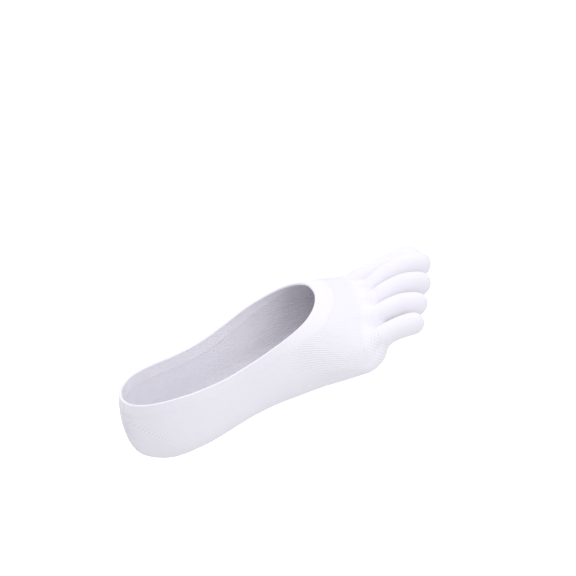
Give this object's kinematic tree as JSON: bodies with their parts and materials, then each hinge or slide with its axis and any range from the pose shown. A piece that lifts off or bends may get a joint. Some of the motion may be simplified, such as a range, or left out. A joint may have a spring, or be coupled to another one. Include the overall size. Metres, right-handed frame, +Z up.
{
  "type": "toe sock",
  "caption": "Low-cut knitted sock with a separate pocket for each toe, in its worn form, with a wide opening edged by a turned welt below the ankle.",
  "frame": {"origin": "on the inner face of the sole, where the middle of the wearer's heel rests", "axes": "+X from the heel to the toes, +Y to the big toe's side, +Z up, with the sole level"},
  "size_m": [0.2494, 0.0987, 0.0517],
  "materials": {
    "white_knit": "matt fine-gauge knit",
    "white_welt": "matt smooth knit, turned double"
  },
  "bodies": {
    "root": {"foot_tube": "white_knit", "opening_welt": "white_welt", "big_toe_pocket": "white_knit", "second_toe_pocket": "white_knit", "middle_toe_pocket": "white_knit", "fourth_toe_pocket": "white_knit", "little_toe_pocket": "white_knit"}
  },
  "joints": []
}
